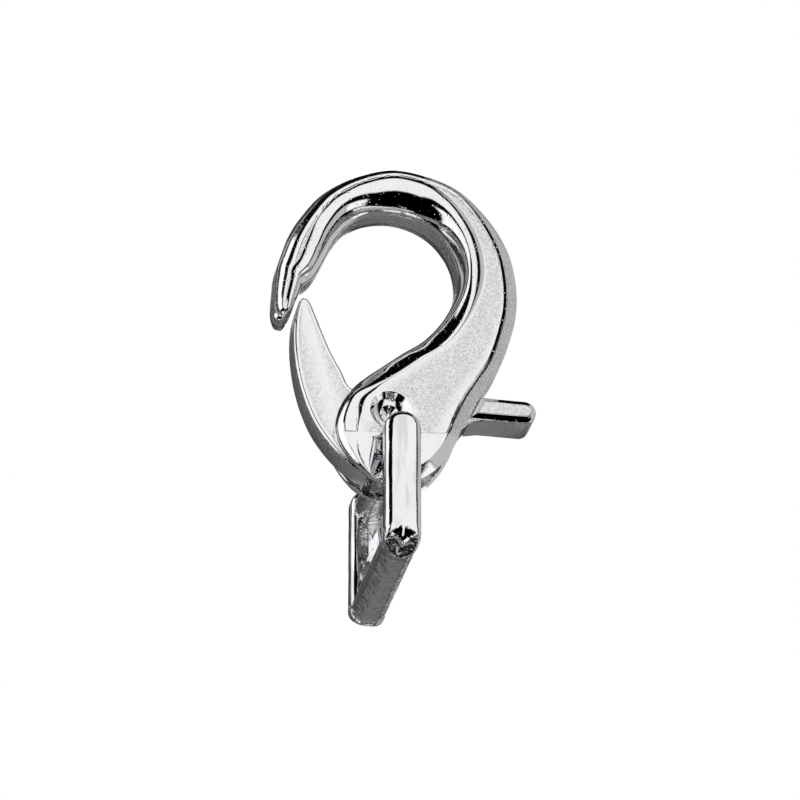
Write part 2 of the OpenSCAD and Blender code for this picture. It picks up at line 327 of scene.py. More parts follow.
def tidy_mesh(piece, merge=0.012 * MM, sharp_angle=32):
    """Merges close points, closes dropped triangles and shades all but the sharp edges smooth."""
    edit = bmesh.new()
    edit.from_mesh(piece.data)
    bmesh.ops.remove_doubles(edit, verts=edit.verts, dist=merge)
    bmesh.ops.dissolve_degenerate(edit, edges=edit.edges, dist=merge / 2)
    open_edges = [edge for edge in edit.edges if edge.is_boundary]
    bmesh.ops.holes_fill(edit, edges=open_edges, sides=4)
    limit = math.radians(sharp_angle)
    for face in edit.faces:
        face.smooth = True
    for edge in edit.edges:
        edge.smooth = len(edge.link_faces) == 2 and edge.calc_face_angle(math.pi) < limit
    edit.to_mesh(piece.data)
    edit.free()


# %% [markdown]
# Each finished piece gets its two numbers, its plating and its place in the frame, and is measured. A
# closed mesh has no open edge.

# %% Define how pieces are finished and measured
def finish_piece(piece, node, body, slot_name, **marks):
    """Marks and plates a piece and ties it to its body and CAD node; slot_name is not used. A mark is a
    rule in x, y, z.
    """
    for name, value_at in marks.items():
        layer = piece.data.attributes.new(name, "FLOAT", "POINT")
        for vertex, item in zip(piece.data.vertices, layer.data):
            item.value = value_at(*(c / MM for c in vertex.co))
    piece.data.materials.clear()
    piece.data.materials.append(FINISHES[node])
    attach(piece, body)
    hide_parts(node)


def report(piece):
    """Prints how many triangles and open edges a piece has, and its volume."""
    edit = bmesh.new()
    edit.from_mesh(piece.data)
    open_edges = sum(1 for edge in edit.edges if len(edge.link_faces) != 2)
    triangles = sum(len(face.verts) - 2 for face in edit.faces)
    volume = edit.calc_volume() / MM ** 3
    edit.free()
    print(f"{piece.name}: {triangles} triangles, {open_edges} open edges, {volume:.1f} cubic mm")


# %% [markdown]
# ## Skins over rings
#
# A cast hook is a bar whose section changes slowly along a curve. The simplest mesh for that is a stack
# of rings, each with the same number of points, joined by quads. A domed end closes the first and the
# last ring. Flat plates and turned pieces are such stacks too, so one function joins all of them.

# %% Define the ring skin
def ring_piece(name, rings, poles=()):
    """A closed piece over equal rings in metres. It ends in flat faces, or in fans to two poles."""
    count = len(rings[0])
    last = (len(rings) - 1) * count
    faces = [(i + k, i + count + k, i + count + (k + 1) % count, i + (k + 1) % count)
             for i in range(0, last, count) for k in range(count)]
    if poles:
        pole = last + count
        faces += [(pole, k, (k + 1) % count) for k in range(count)]
        faces += [(pole + 1, last + (k + 1) % count, last + k) for k in range(count)]
    else:
        faces += [tuple(range(count)), tuple(last + k for k in reversed(range(count)))]
    return new_piece(name, [point for ring in rings for point in ring] + list(poles), faces)


DOME_ANGLES = [math.radians(degrees) for degrees in (20, 40, 60, 78)]


def skin(name, rings, caps=(0.0, 0.0)):
    """Joins equal rings. Each cap's height is how far its dome stands out along the stack."""
    rings = [np.asarray(ring, float) for ring in rings]
    for end, height in ((0, caps[0]), (-1, caps[1])):
        edge = rings[end]
        centre = edge.mean(0)
        inward = rings[1 if end == 0 else -2].mean(0) - centre
        out = -inward / np.linalg.norm(inward) * height
        dome = [centre + (edge - centre) * math.cos(a) + out * math.sin(a) for a in DOME_ANGLES]
        rings = dome[::-1] + rings if end == 0 else rings + dome
    return ring_piece(name, rings)


# %% [markdown]
# ## Outlines and rounded plates
#
# The gate and the loop's arms are flat castings: an outline in x and z with a thickness along y. The
# outline's long stretches run on a smooth curve through a few points, and its ends are arcs.

# %% Define outlines
def spline(a, b, c, d, u):
    """The Catmull-Rom curve from b to c, where u runs from 0 to 1."""
    return 0.5 * (2 * b + (c - a) * u + (2 * a - 5 * b + 4 * c - d) * u ** 2
                  + (3 * b - a - 3 * c + d) * u ** 3)


def curve_through(points, steps):
    """A Catmull-Rom curve through the points, with its first and last point kept."""
    p = np.asarray(points, float)
    p = np.vstack([2 * p[0] - p[1], p, 2 * p[-1] - p[-2]])
    line = [spline(p[i], p[i + 1], p[i + 2], p[i + 3], k / steps)
            for i in range(len(p) - 3) for k in range(steps)]
    return np.array(line + [p[-2]])


def arc(centre, radius, start, end, steps):
    """Points on a circle between two angles in degrees."""
    angles = np.radians(np.linspace(start, end, steps + 1))
    return np.array(centre) + radius * np.column_stack([np.cos(angles), np.sin(angles)])


def inset(outline, amount):
    """The outline moved inwards, for an outline that runs anticlockwise."""
    before = outline - np.roll(outline, 1, axis=0)
    after = np.roll(outline, -1, axis=0) - outline
    before /= np.linalg.norm(before, axis=1)[:, None]
    after /= np.linalg.norm(after, axis=1)[:, None]
    tangent = before + after
    tangent /= np.linalg.norm(tangent, axis=1)[:, None]
    half_turn = np.clip((tangent * after).sum(1), 0.6, 1)
    return outline + np.column_stack([-tangent[:, 1], tangent[:, 0]]) * (amount / half_turn)[:, None]


# %% [markdown]
# A casting never has a knife edge, so each plate gets a small round or bevel all the way round, as rings
# that step inwards. A prism is a plate without one, for cutting. Round tools and the pin are turned: a
# profile swept about an axis, with its two poles closed.

# %% Define plates and turned pieces
def round_edge(radius, steps=4):
    """Pairs of how far in and how far down for a round edge, from the side wall to the flat face."""
    angles = [math.radians(90 * k / steps) for k in range(steps + 1)]
    return [(radius * (1 - math.cos(a)), radius * (1 - math.sin(a))) for a in angles]


def plate(name, outline, y_front, y_back, edge):
    """A plate in millimetres between two y values, with the given edge on both faces."""
    steps = [(inward, y_front + down) for inward, down in reversed(edge)]
    steps += [(inward, y_back - down) for inward, down in edge]
    return ring_piece(name, [[(x * MM, y * MM, z * MM) for x, z in inset(outline, inward)]
                             for inward, y in steps])


def prism(name, outline, y_front, y_back):
    """A plate with sharp edges."""
    return plate(name, outline, y_front, y_back, [(0.0, 0.0)])


def turned(name, centre, profile, sides=64):
    """A closed round piece about an axis along y. The profile runs from the axis back to the axis."""
    angles = [2 * math.pi * k / sides for k in range(sides)]
    rings = [[((centre[0] + r * math.cos(a)) * MM, y * MM, (centre[1] + r * math.sin(a)) * MM)
              for a in angles] for r, y in profile[1:-1]]
    poles = [(centre[0] * MM, y * MM, centre[1] * MM) for _, y in (profile[0], profile[-1])]
    return ring_piece(name, rings, poles)


def rod(name, centre, radius, y_front, y_back, sides=64):
    """A round bar along y."""
    return turned(name, centre, [(0, y_front), (radius, y_front), (radius, y_back), (0, y_back)], sides)


# %% [markdown]
# ## The hook body
#
# The hook is one casting, and its shape follows a rule: a row of sections from the nose, over the crown
# and down an S-shaped waist to the tail. Each section has a straight inner wall, a polished rib, a flat
# sandy face and a bevel on the outside. The rows of the table are the same as the construction's, and a
# smooth curve fills in between them.

# %% Write down the sections
CREST_H, FACE_H, WALL_H, BEVEL_W = 3.5, 3.1, 2.4, 1.5
# The columns: inner x, inner z, outer x, outer z, rib width, where the crest lies in that width, how
# steeply the rib rises, the shares of the crest's, the face's and the wall's depth, and how straight and
# how wide the outer bevel is.
SECTIONS = np.array([
    [-10.7, -12.9, -11.2, -12.9, 0.2, 0.55, 2.0, 0.5, 0.53, 0.46, 0.1, 1.0],
    [-10.3, -12.6, -11.6, -12.5, 0.6, 0.55, 2.0, 0.68, 0.73, 0.58, 0.1, 1.0],
    [-10.0, -12.0, -11.8, -11.6, 0.9, 0.55, 2.0, 0.74, 0.79, 0.62, 0.1, 1.0],
    [-9.7, -11.1, -11.8, -10.2, 1.1, 0.55, 2.0, 0.77, 0.83, 0.64, 0.1, 1.0],
    [-9.3, -9.9, -11.7, -8.7, 1.3, 0.55, 2.0, 0.81, 0.88, 0.66, 0.1, 1.0],
    [-9.0, -9.1, -11.6, -7.5, 1.6, 0.55, 2.0, 0.85, 0.92, 0.66, 0.1, 1.0],
    [-7.9, -8.0, -11.3, -6.3, 2.0, 0.55, 2.0, 0.9, 0.97, 0.66, 0.1, 1.0],
    [-6.9, -6.0, -10.6, -4.1, 2.3, 0.58, 2.0, 0.93, 1.0, 0.66, 0.1, 1.0],
    [-5.9, -3.8, -9.3, -1.6, 2.5, 0.62, 2.0, 0.95, 1.03, 0.66, 0.1, 1.0],
    [-4.5, -1.8, -7.2, 1.2, 2.6, 0.68, 2.0, 0.98, 1.05, 0.66, 0.1, 1.0],
    [-2.5, -0.5, -4.0, 3.4, 2.9, 0.74, 2.0, 0.99, 1.07, 0.66, 0.1, 1.0],
    [0.0, 0.0, -0.3, 4.6, 3.2, 0.76, 2.0, 1.0, 1.08, 0.66, 0.1, 1.0],
    [2.3, -0.4, 3.4, 4.2, 3.2, 0.72, 2.0, 1.0, 1.06, 0.66, 0.14, 1.0],
    [4.4, -1.6, 6.8, 2.9, 2.9, 0.6, 2.0, 1.0, 1.02, 0.66, 0.3, 1.0],
    [5.9, -3.5, 9.6, 0.2, 2.6, 0.5, 2.0, 1.0, 1.0, 0.68, 0.6, 1.1],
    [6.6, -5.7, 11.6, -3.3, 2.4, 0.45, 2.0, 1.0, 1.0, 0.7, 0.85, 1.15],
    [6.6, -7.9, 12.4, -6.9, 2.3, 0.48, 2.0, 1.0, 1.0, 0.72, 0.9, 1.15],
    [6.0, -9.9, 12.4, -10.4, 2.2, 0.72, 2.0, 0.97, 1.0, 0.75, 0.9, 1.1],
    [4.8, -12.2, 11.7, -13.6, 2.2, 0.9, 1.7, 0.92, 1.0, 0.78, 0.9, 1.05],
    [3.0, -14.4, 10.6, -16.8, 2.3, 0.97, 1.5, 0.9, 1.0, 0.8, 0.9, 1.0],
    [0.8, -16.1, 9.2, -19.2, 2.3, 0.97, 1.5, 0.9, 1.0, 0.82, 0.9, 1.0],
    [-1.5, -18.0, 8.0, -21.4, 2.3, 0.97, 1.5, 0.9, 1.0, 0.82, 0.9, 1.05],
    [-3.5, -19.7, 7.0, -23.6, 2.2, 0.88, 1.7, 0.92, 1.0, 0.82, 0.9, 1.0],
    [-4.9, -21.5, 6.3, -25.4, 2.0, 0.55, 2.0, 0.95, 1.0, 0.83, 0.9, 1.0],
    [-5.7, -23.4, 5.3, -27.2, 2.4, 0.42, 2.0, 0.95, 1.0, 0.84, 0.9, 1.05],
    [-5.9, -25.2, 4.0, -28.8, 2.4, 0.42, 2.0, 0.92, 0.97, 0.84, 0.85, 1.1],
    [-5.3, -27.0, 2.3, -30.0, 1.9, 0.5, 2.0, 0.85, 0.91, 0.83, 0.8, 1.2],
    [-4.0, -28.8, 0.6, -30.6, 1.2, 0.6, 2.0, 0.78, 0.85, 0.82, 0.6, 1.2],
    [-2.7, -29.9, -0.9, -30.6, 0.6, 0.7, 2.0, 0.7, 0.78, 0.8, 0.5, 1.0],
])
RINGS_PER_ROW = 9


def section_at(place):
    """The table's row at a place along the hook, where 2.5 is half-way between rows 2 and 3."""
    index = int(math.floor(place))
    rows = [SECTIONS[min(max(index + k, 0), len(SECTIONS) - 1)] for k in (-1, 0, 1, 2)]
    return spline(*rows, place - index)


print(len(SECTIONS), "sections,", RINGS_PER_ROW, "rings between two of them")

# %% [markdown]
# One side of a section is drawn once as pairs of across and depth, with a number that says which
# stretch a point is on: wall, rib, flat face or bevel. That number later tells the finish where the
# metal is polished and where it is sandy. The bevel starts with a flatter lip, which mirrors the dark
# gap between two soft boxes as a thin black line.

# %% Draw one side of a section
WALL, RIB, FLAT, BEVEL = 0.0, 1.0, 2.0, 3.0
CORNER = 0.4
FOOT_POWER = 2.2
LIP, LIP_SLOPE = 0.27, 0.41


def half_profile(row):
    """Across, depth and stretch of the points on one side, from the inner wall to the outer one."""
    width = math.hypot(row[2] - row[0], row[3] - row[1])
    bevel = min(row[11] * BEVEL_W, 0.45 * width)
    rib = min(row[4], width - bevel)
    peak, power, slope = row[5] * rib, row[6], row[10]
    crest, face, wall = row[7] * CREST_H, row[8] * FACE_H, row[9] * WALL_H
    line = [(0.0, wall - 2 * CORNER, WALL)]
    start = min(CORNER / peak, 0.3)
    reach = (peak * start, (crest - wall) * (1 - (1 - start) ** power))
    for k in range(6):
        s = k / 5
        line.append((reach[0] * s ** 2, wall - CORNER * (1 - s) ** 2 + reach[1] * s ** 2, RIB))
    for k in range(1, 12):
        s = start + (1 - start) * k / 11
        line.append((peak * s, wall + (crest - wall) * (1 - max(0.0, 1 - s) ** power), RIB))
    for k in range(1, 9):
        s = k / 8
        line.append((peak + (rib - peak) * s, crest - (crest - face) * s ** FOOT_POWER, RIB))
    for k in range(1, 6):
        line.append((rib + (width - bevel - rib) * k / 6, face, FLAT))
    for k in range(16):
        s = k / 15
        straight = max(LIP_SLOPE * s, 1 - (1 - s) * (1 - LIP_SLOPE * LIP) / (1 - LIP))
        fall = slope * straight + (1 - slope) * s ** 3
        line.append((width - bevel + bevel * s, face - (face - wall) * fall, BEVEL if s > LIP else RIB))
    return np.array(line)


print(len(half_profile(SECTIONS[0])), "points on one side of a section")

# %% [markdown]
# A ring is that side, the outer wall, the side mirrored, and the inner wall. The slot will split the
# tail into two thin cheeks. There the middle of both walls is pulled in, so that the cut leaves a small
# slanting edge round each cheek, which mirrors a soft box as a white line.

# %% Build the hook's skin
SLOT_H = 1.75
TAIL_PLACE, TAIL_EDGE, TAIL_PULL = (21.5, 22.2), 0.3, 0.45
WALL_SHARE, SLOT_MARGIN = 0.6, 0.15


def ring_at(place):
    """The points in metres of the ring at a place along the hook, and the stretch of each."""
    row = section_at(place)
    inner, outer = np.array([row[0], row[1]]), np.array([row[2], row[3]])
    across = (outer - inner) / np.linalg.norm(outer - inner)
    side = half_profile(row)
    width, depth = side[-1][0], row[9] * WALL_H
    in_tail = np.interp(place, TAIL_PLACE, (0, 1))
    far = WALL_SHARE * depth + in_tail * (SLOT_H - SLOT_MARGIN - WALL_SHARE * depth)
    spots = [(p[0], -p[1], p[2]) for p in side]
    spots += [(width, share * far, WALL) for share in (-1, -0.33, 0.33, 1)]
    spots += [(p[0], p[1], p[2]) for p in side[::-1]]
    spots += [(0.0, (depth - 2 * CORNER) * (1 - 2 * k / 5), WALL) for k in range(1, 5)]
    points = []
    for a, y, _ in spots:
        pull = in_tail * min(max(SLOT_H + TAIL_EDGE - abs(y), 0), TAIL_PULL, 0.3 * width)
        a += pull if a < width / 2 else -pull
        points.append((inner[0] + across[0] * a, y, inner[1] + across[1] * a))
    return np.array(points) * MM, [stretch for _, _, stretch in spots]


places = np.linspace(0, len(SECTIONS) - 1, (len(SECTIONS) - 1) * RINGS_PER_ROW + 1)
ring_data = [ring_at(place) for place in places]
hook_body = skin("hook_body_cast", [points for points, _ in ring_data], caps=(0.2 * MM, 0.1 * MM))
report(hook_body)

# %% [markdown]
# ## Cuts in the hook body
#
# The mill cuts a slot for the gate, a bore for the loop's round bar and a hole for the pin. A punch
# leaves a cone round the pin on both cheeks, and its lip is rounded by the tumbling, so the punch's
# profile flares out until it is almost level with the face.

# %% Define the punch
PIVOT = (-0.5, -23.1)
BAR = (0.2, -26.8)
PIN_R, TAIL_BORE_R = 0.95, 1.7
DIMPLE_R, DIMPLE_FLOOR_R, DIMPLE_RIM, DIMPLE_RISE, STAKE_RISE = 2.0, 1.6, 0.55, 0.4, 0.68
SLOT = np.array([(-13, -17.2), (-13, -33), (14, -33), (12, -19.2), (3.5, -20.6), (2.2, -20.5),
                 (0.7, -19.6), (-1.1, -19.6), (-2.2, -18.0), (-4.5, -17.2)], float)
PIN_END = FACE_H - DIMPLE_RIM - DIMPLE_RISE * (DIMPLE_FLOOR_R - PIN_R)
PAST = CREST_H + 1


def dimple_tool(side):
    """The punch: a lip that flares to the face, a steep rim and a cone down to the pin."""
    floor_y = FACE_H - DIMPLE_RIM
    profile = [(0, PAST), (DIMPLE_R + 0.22, PAST), (DIMPLE_R + 0.1, FACE_H + 0.03),
               (DIMPLE_R + 0.04, FACE_H - 0.03), (DIMPLE_R - 0.04, FACE_H - 0.11),
               (DIMPLE_FLOOR_R + 0.04, floor_y + 0.05), (DIMPLE_FLOOR_R - 0.05, floor_y - 0.04),
               (PIN_R, PIN_END), (PIN_R, 1.0), (0, 1.0)]
    return turned("dimple_tool", PIVOT, [(r, side * y) for r, y in profile], 72)


print("the punch reaches", round(FACE_H - PIN_END, 2), "mm below the face")

# %% [markdown]
# Both cheeks of the tail are dressed with a flat facet, below a slightly slanting line, and a groove
# runs beside the round bar's bore. Each tool is a box, and the groove's box is turned and tilted.

# %% Define the boxes that dress the tail
SHAVED_Z, SHAVED_SLANT, SHAVED_LOW, SHAVED_LEAN, STEP = -25.45, 0.078, -31.5, 0.3, 0.07
GROOVE_AT, GROOVE_Y, GROOVE_L, GROOVE_W = (-1.5, -25.9), 3.0, 5.5, 1.7
GROOVE_TURN, GROOVE_TILT = math.radians(25), math.radians(30)


def facet_tool(side):
    """A box that shaves the tail's face, below a line a little under the pivot."""
    corners = [(FACE_H - STEP, SHAVED_Z), (PAST, SHAVED_Z), (PAST, SHAVED_LOW),
               (FACE_H - SHAVED_LEAN, SHAVED_LOW)]
    points = [(x * MM, side * y * MM, (z + SHAVED_SLANT * x) * MM) for x in (-9, 9) for y, z in corners]
    faces = [(0, 1, 2, 3), (7, 6, 5, 4), (0, 4, 5, 1), (1, 5, 6, 2), (2, 6, 7, 3), (3, 7, 4, 0)]
    return new_piece("facet_tool", points, faces)


def groove_tool(side):
    """A box that cuts the groove, with a floor that slopes away from a slanting line."""
    outer = side * PAST
    corners = [Vector((x, y, z)) for x in (0, GROOVE_W) for y in (0, outer) for z in (-GROOVE_L, 0)]
    place = (Matrix.Translation((GROOVE_AT[0], side * GROOVE_Y, GROOVE_AT[1]))
             @ Matrix.Rotation(GROOVE_TURN, 4, "Y") @ Matrix.Rotation(-side * GROOVE_TILT, 4, "Z"))
    faces = [(0, 1, 3, 2), (4, 6, 7, 5), (0, 4, 5, 1), (2, 3, 7, 6), (0, 2, 6, 4), (1, 5, 7, 3)]
    return new_piece("groove_tool", [place @ corner * MM for corner in corners], faces)


# %% [markdown]
# The small pip on the nose is where the metal ran into the mould. It is united first, on the clean skin.
# The grooves are cut next, because a box that is cut late, through faces that other tools have left,
# can confuse the boolean.

# %% Add the pip and make the cuts
PIP_AT, PIP_R = (-11.25, -0.9, -12.7), 0.55
pip_profile = [(PIP_R * math.sin(math.radians(a)), PIP_AT[1] - PIP_R * math.cos(math.radians(a)))
               for a in range(0, 181, 15)]
combine(hook_body, [turned("pip", (PIP_AT[0], PIP_AT[2]), pip_profile, 32)], "UNION")
combine(hook_body, [
    groove_tool(1), groove_tool(-1), prism("slot_tool", SLOT, -SLOT_H, SLOT_H),
    rod("pin_tool", PIVOT, PIN_R, -PAST, PAST, 48),
    rod("bar_tool", BAR, TAIL_BORE_R, -PAST, PAST),
    dimple_tool(1), dimple_tool(-1), facet_tool(1), facet_tool(-1),
], "DIFFERENCE")
tidy_mesh(hook_body)
report(hook_body)

# %% [markdown]
# A boolean keeps no record of which stretch a point came from. The points of the uncut skin still know,
# so each point of the finished mesh asks its nearest one. Points that lie deep inside a cut find none
# close by: they are milled walls, and count as matt.

# %% Mark the sandy and the matt stretches
skin_tree = KDTree(sum(len(points) for points, _ in ring_data))
stretches = []
for points, stretch in ring_data:
    for point, number in zip(points, stretch):
        skin_tree.insert(point, len(stretches))
        stretches.append(number)
skin_tree.balance()
NEAR_SKIN = 0.4
TAIL_EDGE_Z = -22.5
SANDY_BEVEL_X, WORN_BEVEL = 3, 0.1
WALL_REACH, SLOT_WALL = 2.0, SLOT_H - 0.02


def stretch_of(x, y, z):
    """The stretch of the nearest point of the uncut skin, or None inside a cut."""
    _, index, gap = skin_tree.find((x * MM, y * MM, z * MM))
    return stretches[index] if gap < NEAR_SKIN * MM else None


def sand_on_body(x, y, z):
    """The faces and the right-hand bevel are sandy, but for the punched and the shaved places."""
    in_dimple = math.hypot(x - PIVOT[0], z - PIVOT[1]) < DIMPLE_R + 0.2
    if in_dimple or z < SHAVED_Z + SHAVED_SLANT * x:
        return 0.0
    return {FLAT: 1.0, BEVEL: 1.0 if x > SANDY_BEVEL_X else WORN_BEVEL}.get(stretch_of(x, y, z), 0.0)


def matt_on_body(x, y, z):
    """The walls are matt, but the thin edge that the slot leaves round the tail is polished."""
    tail_edge = z < TAIL_EDGE_Z and abs(y) > SLOT_WALL
    on_wall = stretch_of(x, y, z) in (WALL, None) and abs(y) < WALL_REACH
    return 1.0 if on_wall and not tail_edge else 0.0


finish_piece(hook_body, "hook_body", "body", "body_metal", sand=sand_on_body, matt=matt_on_body)
print(len(stretches), "points know their stretch")

# %% [markdown]
# ## The gate
#
# The gate is a crescent with a hub in the slot and a thumb tab on the other side. Its outline is two
# smooth curves that meet in a blunt tip. The faces keep the mould's sandy skin and the edges are
# slightly round, which is what makes the fine bright line along them. The tab's edge is a flatter bevel
# instead, which mirrors the dark floor as a black line under the tab's face.

# %% Build the gate
GATE_H, TAB_H_HALF, TAB_T = 1.6, 1.2, 2.2
HUB_R, GATE_BORE_R, BAR_R = 3.0, 1.0, 1.5
CRESCENT_OUT = [(-9.05, -10.7), (-9.45, -11.3), (-9.8, -13.3), (-9.85, -15.6), (-9.65, -17.8),
                (-9.25, -20.0), (-8.6, -22.2), (-7.7, -24.3), (-6.6, -26.0), (-5.4, -27.4),
                (-3.9, -28.7), (-2.5, -29.5)]
CRESCENT_IN = [(0.5, -20.6), (-2.6, -20.7), (-4.3, -20.1), (-5.1, -18.5), (-6.2, -16.4), (-7.1, -14.2),
               (-7.9, -12.1), (-8.3, -11.15), (-8.65, -10.72)]
TAB_ROOT = [(0, -21.2), (0, -24.4), (4.6, -25.0), (6.2, -24.4), (7.6, -22.9), (9.5, -22.5),
            (9.5, -20.1), (4.5, -20.8), (2.6, -21.3)]
TAB_TOP = PIVOT[1] + 3.0
TAB_END_X = 14.3
TAB_EDGE = [(0.0, 0.5), (0.04, 0.4), (0.09, 0.345), (0.14, 0.308),
            (0.52, 0.045), (0.57, 0.01), (0.61, 0.0), (0.67, 0.0)]

crescent_outline = np.vstack([curve_through(CRESCENT_OUT, 5), [(-2.0, -28.5), (0, -24.0)],
                              curve_through(CRESCENT_IN, 5)])
GATE_ROUND, MARGIN = 0.26, 0.5
margins = np.interp(crescent_outline[:, 1], [-29.5, -27, -13, -10.7], [0.3, MARGIN, MARGIN, 0.3])
gate_edge = round_edge(GATE_ROUND) + [(margins - 0.03, 0.0), (margins, 0.0)]
gate = plate("gate_cast", crescent_outline, -GATE_H, GATE_H, gate_edge)
tab_outline = np.vstack([
    [(8.7, TAB_TOP), (7.6, TAB_TOP - 2 * TAB_H_HALF)],
    arc((TAB_END_X - TAB_H_HALF, TAB_TOP - TAB_H_HALF), TAB_H_HALF, -90, 90, 20)])
combine(gate, [
    plate("tab_root", np.array(TAB_ROOT, float), -GATE_H, GATE_H, round_edge(0.15)),
    plate("tab", tab_outline, -TAB_T, TAB_T, TAB_EDGE),
    rod("hub", PIVOT, HUB_R, -GATE_H, GATE_H, 72),
], "UNION")
report(gate)

# %% [markdown]
# The loop's round bar runs through the slot, just under the pivot. So the hub has a notch, which is cut
# three times, for the gate shut, half open and open.

# %% Cut the gate's bore and the bar's notch
OPEN_ANGLE, BAR_GAP = 25, 0.3


def bar_room(angle):
    """The notch that clears the round bar with the gate turned by this angle."""
    turn = math.radians(angle)
    r = BAR_R + BAR_GAP
    round_end = arc((BAR[0] - PIVOT[0], BAR[1] - PIVOT[1]), r, 0, 180, 20)
    low = BAR[1] - PIVOT[1] - 2 * HUB_R
    flat = np.vstack([round_end, [(BAR[0] - PIVOT[0] - r, low), (BAR[0] - PIVOT[0] + r, low)]])
    turned_back = np.column_stack([flat[:, 0] * math.cos(turn) - flat[:, 1] * math.sin(turn),
                                   flat[:, 0] * math.sin(turn) + flat[:, 1] * math.cos(turn)])
    return prism("bar_room", turned_back + np.array(PIVOT), -2 * GATE_H, 2 * GATE_H)


combine(gate, [rod("gate_bore", PIVOT, GATE_BORE_R, -2 * GATE_H, 2 * GATE_H, 48)]
        + [bar_room(angle) for angle in (0, OPEN_ANGLE / 2, OPEN_ANGLE)], "DIFFERENCE")
tidy_mesh(gate)
report(gate)

# %% [markdown]
# The faces are sandy up to a polished rim, and the side walls between the two rims are matt. The tab is
# sandy on its flat faces only, and its round end is polished by the thumb.

# %% Mark and finish the gate
crescent_edge = curve_through(np.vstack([crescent_outline, crescent_outline[:1]]), 3)
TAB_SAND_END, TAB_WALL_X = 0.5, 9.5
GATE_RIM, TAB_RIM = 0.25, 0.44


def sand_on_gate(x, y, z):
    """The sandy skin starts a little inside the rim, which the tumbling has polished."""
    from_edge = np.hypot(*(crescent_edge - (x, z)).T).min()
    on_crescent = abs(abs(y) - GATE_H) < 0.01 and from_edge > MARGIN - 0.015
    return 1.0 if on_crescent or abs(y) > TAB_T - 0.01 and x < TAB_END_X - TAB_SAND_END else 0.0


def matt_on_gate(x, y, z):
    """The side walls of the crescent and of the tab."""
    on_tab = x > TAB_WALL_X and abs(y) < TAB_T - TAB_RIM
    return 1.0 if on_tab or abs(y) < GATE_H - GATE_RIM else 0.0


finish_piece(gate, "gate", "gate", "gate_metal", sand=sand_on_gate, matt=matt_on_gate)
print("the gate is finished and rides on its own body")

# %% [markdown]
# ## The strap loop
#
# The loop is a closed frame: two like arms, a round bar that goes through the tail and a heavier bar
# below for the strap. One arm is made first, as a plate whose round edge is wide, because the real one is
# tumbled until its bevels are round. Its flat face has rings of its own, so that the toe can be ground
# back a little in front, less in the middle than at the sides, which gives the dark star at its foot.

# %% Make one arm
STRAP_W, ARM_T, ARM_R, ARM_RISE, LOOP_DROP = 15.2, 2.4, 1.8, 0.6, 10.9
NEAR_Y = -CREST_H - 0.3
MIDDLE_Y = NEAR_Y + STRAP_W / 2
ARM_ROUND = 0.82
TOE, TOE_SLOPE, TOE_SOFT, TOE_RIDGE = 2.9, 0.75, 0.3, 0.45
STAR_LOW, STAR_SIDE = -38.3, 0.55
BAR_SINK = 0.2

top_z, foot_z = BAR[1] + ARM_RISE, BAR[1] - LOOP_DROP
left_side, right_side = [[(BAR[0] + side, z) for z in np.linspace(top_z, foot_z, 34)[1:-1]]
                         for side in (-ARM_R, ARM_R)]
arm_outline = np.vstack([arc((BAR[0], top_z), ARM_R, 0, 180, 24), left_side,
                         arc((BAR[0], foot_z), ARM_R, 180, 360, 24), right_side[::-1]])
arm_edge = round_edge(ARM_ROUND, 9) + [(share * ARM_R, 0.0) for share in (0.6, 0.75, 0.88, 0.95)]
strap_loop = plate("strap_loop_cast", arm_outline, NEAR_Y - ARM_T, NEAR_Y, arm_edge)
for vertex in strap_loop.data.vertices:
    x, y, z = vertex.co / MM
    down = max(0.0, foot_z - ARM_R + TOE - z - TOE_RIDGE * abs(x - BAR[0]))
    back = TOE_SLOPE * (down ** 2 / (2 * TOE_SOFT) if down < TOE_SOFT else down - TOE_SOFT / 2)
    vertex.co.y += back * (NEAR_Y - y) / ARM_T * MM
report(strap_loop)

# %% [markdown]
# The frame's form is a rule, so Geometry Nodes build it from named sizes. The tree sets the arm twice
# round the frame's upright middle line, the second time turned by half a turn, sweeps the two bars
# between them, unites all and sets the finish. Each `add` makes one node in this tree.

# %% Define how nodes are added to the loop's tree
loop_tree = bpy.data.node_groups.new("strap_loop_frame", "GeometryNodeTree")
LOOP_SIZES = {"Middle X": BAR[0], "Middle Y": MIDDLE_Y, "Round Bar Z": BAR[1], "Drop": LOOP_DROP,
              "Bar Length": STRAP_W + 2 * BAR_SINK, "Round Bar Radius": BAR_R, "Root Flare": 0.27,
              "Strap Bar Radius": 1.77, "Strap Bar Corner": 0.5}
loop_tree.interface.new_socket("Arm", in_out="INPUT", socket_type="NodeSocketGeometry")
for label in LOOP_SIZES:
    loop_tree.interface.new_socket(label, in_out="INPUT", socket_type="NodeSocketFloat")
loop_tree.interface.new_socket("Loop", in_out="OUTPUT", socket_type="NodeSocketGeometry")
given = loop_tree.nodes.new("NodeGroupInput").outputs


def add(kind, inputs, **settings):
    """Adds a node to the loop's tree and returns its first output."""
    return add_node(loop_tree, kind, inputs, **settings).outputs[0]


def calc(operation, a, b):
    """The result of a Math node in the loop's tree."""
    return math_node(loop_tree, operation, a, b)


def spot(x=0.0, y=0.0, z=0.0):
    """A vector from three numbers or sockets."""
    return add("ShaderNodeCombineXYZ", {"X": x, "Y": y, "Z": z})


print("the loop's tree takes", len(LOOP_SIZES), "sizes and one arm")


# %% [markdown]
# The arm is moved to the middle line first, because an instance turns about its own origin. Two points
# lie on that line, and the point's number, 0 or 1, gives no turn or half a turn.

